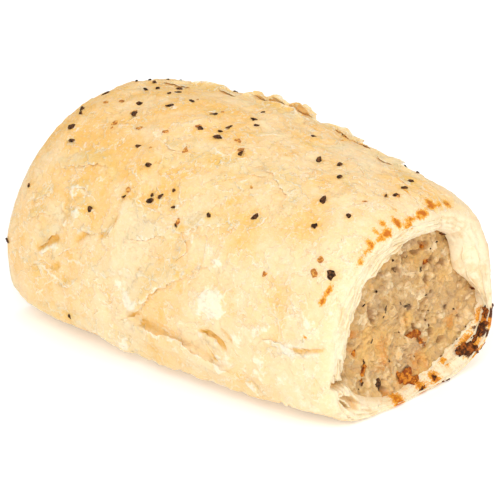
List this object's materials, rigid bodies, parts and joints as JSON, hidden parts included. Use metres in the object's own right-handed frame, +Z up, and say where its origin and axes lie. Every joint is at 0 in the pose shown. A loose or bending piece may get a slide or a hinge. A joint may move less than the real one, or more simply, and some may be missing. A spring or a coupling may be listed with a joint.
{
  "type": "sausage roll",
  "caption": "Baked sausage roll: a pale flaky puff pastry wrap, open at both ends, round a seasoned sausage meat filling that lies a little back from each end.",
  "frame": {"origin": "middle of the roll's box, on the flat base that it rests on", "axes": "+X along the roll to the near end, which is the slimmer one, +Y to the back, away from the side where the pastry laps over itself, +Z up"},
  "size_m": [0.09, 0.0626, 0.047],
  "materials": {
    "pastry": "pale baked puff pastry, dry and flaky, with light toasting and a faint oily sheen",
    "filling": "moist cooked sausage meat, greyish tan, with herbs and crisp orange-brown spots"
  },
  "bodies": {
    "root": {"pastry": "pastry", "filling": "filling"}
  },
  "joints": []
}
